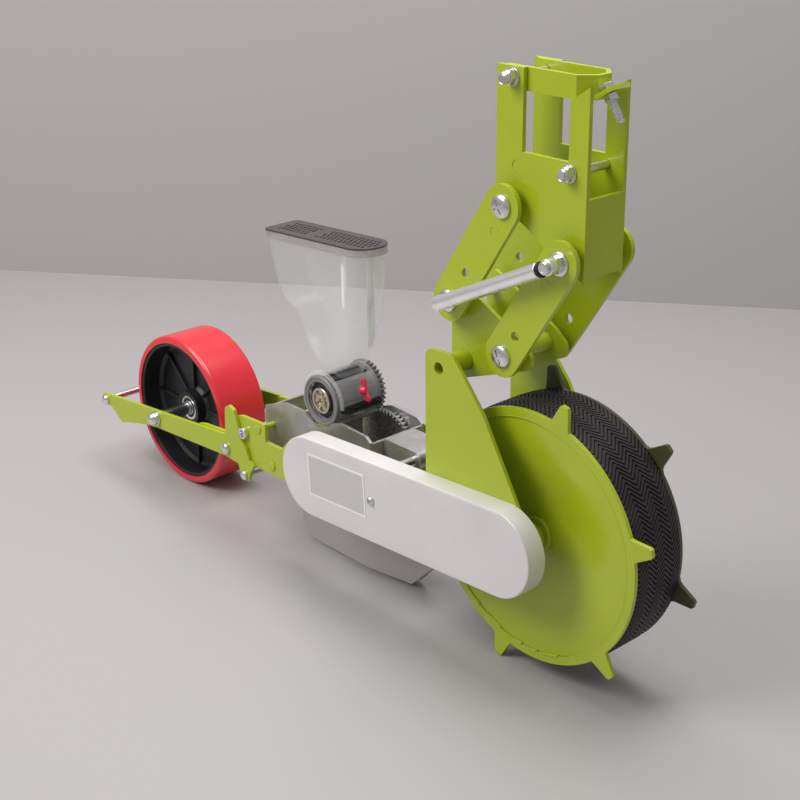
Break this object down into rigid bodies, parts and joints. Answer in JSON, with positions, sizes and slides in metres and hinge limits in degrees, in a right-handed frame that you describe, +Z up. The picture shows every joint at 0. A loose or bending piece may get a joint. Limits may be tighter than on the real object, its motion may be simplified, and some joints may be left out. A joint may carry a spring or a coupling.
{
  "type": "seed planter unit",
  "caption": "Tool bar seed planter unit: lugged ground wheel driving a clear seed meter by chain, opener shoe, sprung parallel linkage and trailing press wheel.",
  "frame": {"origin": "bottom centre of the bounding box, on the ground under the unit", "axes": "+X forward towards the drive wheel, +Y to the machine's left (away from the chain side), +Z up"},
  "size_m": [1.0056, 0.1906, 0.68],
  "materials": {
    "lime_paint": "glossy lime green paint",
    "zinc": "bright zinc plating",
    "bright_steel": "machined steel",
    "silver_paint": "silver-grey paint",
    "cast_alloy": "cast alloy",
    "black_rubber": "moulded black rubber",
    "red_polyurethane": "smooth red polyurethane",
    "black_plastic": "moulded black plastic",
    "clear_plastic": "clear moulded plastic",
    "smoked_plastic": "smoked translucent plastic",
    "grey_plastic": "moulded grey plastic",
    "red_plastic": "glossy red plastic"
  },
  "bodies": {
    "frame": {"near_side_plate": "lime_paint", "far_side_plate": "lime_paint", "near_axle_bearing": "bright_steel", "far_axle_bearing": "bright_steel", "ear_tube": "lime_paint", "rear_carrier_rod": "zinc", "front_carrier_rod": "zinc", "shoe_bolt": "zinc", "arm_pivot_bolt": "zinc", "depth_lock_bolt": "zinc", "roller_chain": "bright_steel", "chain_cover": "silver_paint", "cover_screw": "zinc", "meter_housing": "clear_plastic", "window_ring": "grey_plastic", "wiper_brush": "black_plastic", "meter_carrier": "cast_alloy", "hopper": "clear_plastic", "seed_chute": "grey_plastic", "opener_shoe": "silver_paint", "link_bracket": "lime_paint", "pivot_bolt_c": "zinc", "pivot_bolt_d": "zinc"},
    "drive_wheel": {"near_lug_ring": "lime_paint", "far_lug_ring": "lime_paint", "near_wheel_disc": "lime_paint", "far_wheel_disc": "lime_paint", "rubber_tread": "black_rubber", "drive_axle": "bright_steel", "drive_sprocket": "bright_steel"},
    "meter_drive": {"meter_shaft": "bright_steel", "meter_sprocket": "bright_steel", "meter_gear": "bright_steel"},
    "roller": {"seed_roller": "black_plastic", "roller_gear": "black_plastic", "roller_shaft": "bright_steel"},
    "wing": {"wing_screw": "red_plastic"},
    "lid": {"hopper_lid": "smoked_plastic"},
    "press_arms": {"near_press_arm": "lime_paint", "far_press_arm": "lime_paint", "press_axle": "zinc", "toe_tie_rod": "zinc", "tail_bolt": "zinc"},
    "press_wheel": {"press_tyre": "red_polyurethane", "press_hub": "black_plastic", "near_press_bearing": "bright_steel", "far_press_bearing": "bright_steel"},
    "link_rear": {"near_rear_link": "lime_paint", "far_rear_link": "lime_paint"},
    "link_front": {"near_front_link": "lime_paint", "far_front_link": "lime_paint"},
    "head": {"head_bracket": "lime_paint", "pivot_bolt_a": "zinc", "pivot_bolt_b": "zinc", "gate_pin": "zinc", "clamp_bolt": "zinc"},
    "gate": {"clamp_gate": "lime_paint", "gate_set_screw": "zinc"},
    "strut_outer": {"strut_tube": "bright_steel"},
    "strut_inner": {"strut_rod": "bright_steel"}
  },
  "joints": [
    {"name": "drive_wheel_spin", "type": "hinge", "parent": "frame", "child": "drive_wheel", "pos_m": [0.33176, 0.0057, 0.17107], "axis": [0, 1, 0], "continuous": true},
    {"name": "meter_drive_spin", "type": "hinge", "parent": "frame", "child": "meter_drive", "pos_m": [0.01176, 0.0057, 0.152], "axis": [0, 1, 0], "continuous": true},
    {"name": "roller_spin", "type": "hinge", "parent": "frame", "child": "roller", "pos_m": [-0.03024, 0.0057, 0.22475], "axis": [0, 1, 0], "continuous": true},
    {"name": "wing_screw_turn", "type": "hinge", "parent": "frame", "child": "wing", "pos_m": [-0.03024, 0.0057, 0.22475], "axis": [0.9336, 0, 0.3584], "continuous": true},
    {"name": "lid_lift", "type": "slide", "parent": "frame", "child": "lid", "axis": [-0.0558, 0, 0.9984], "range_m": [0, 0.06]},
    {"name": "press_arm_pivot", "type": "hinge", "parent": "frame", "child": "press_arms", "pos_m": [-0.19024, 0.0057, 0.118], "axis": [0, 1, 0], "range_deg": [-12, 0]},
    {"name": "press_wheel_spin", "type": "hinge", "parent": "press_arms", "child": "press_wheel", "pos_m": [-0.35984, 0.0057, 0.1095], "axis": [0, 1, 0], "continuous": true},
    {"name": "linkage_fold", "type": "hinge", "parent": "frame", "child": "link_rear", "pos_m": [0.20676, 0.0057, 0.4173], "axis": [0, 1, 0], "range_deg": [0, 40], "stiffness_Nm_per_rad": 8, "springref_deg": -34.38},
    {"name": "front_link_fold", "type": "hinge", "parent": "frame", "child": "link_front", "pos_m": [0.28826, 0.0057, 0.374], "axis": [0, 1, 0], "range_deg": [0, 40]},
    {"name": "head_level", "type": "hinge", "parent": "link_rear", "child": "head", "pos_m": [0.28526, 0.0057, 0.5381], "axis": [0, 1, 0], "range_deg": [-40, 0]},
    {"name": "gate_hinge", "type": "hinge", "parent": "head", "child": "gate", "pos_m": [0.28376, 0.0057, 0.669], "axis": [0, 1, 0], "range_deg": [-95, 0]},
    {"name": "strut_swing", "type": "hinge", "parent": "frame", "child": "strut_outer", "pos_m": [0.20676, 0.0057, 0.4173], "axis": [0, 1, 0], "range_deg": [0, 26.6]},
    {"name": "strut_slide", "type": "slide", "parent": "strut_outer", "child": "strut_inner", "axis": [0.9, 0, 0.4359], "range_m": [0, 0.044]}
  ],
  "couplings": [
    {"joint": "meter_drive_spin", "follows": "drive_wheel_spin", "ratio": 1.2857},
    {"joint": "roller_spin", "follows": "drive_wheel_spin", "ratio": -1.8908},
    {"joint": "front_link_fold", "follows": "linkage_fold", "ratio": 1},
    {"joint": "head_level", "follows": "linkage_fold", "ratio": -1},
    {"joint": "strut_swing", "follows": "linkage_fold", "ratio": 0.6575},
    {"joint": "strut_slide", "follows": "linkage_fold", "m_per_rad": 0.06225}
  ]
}
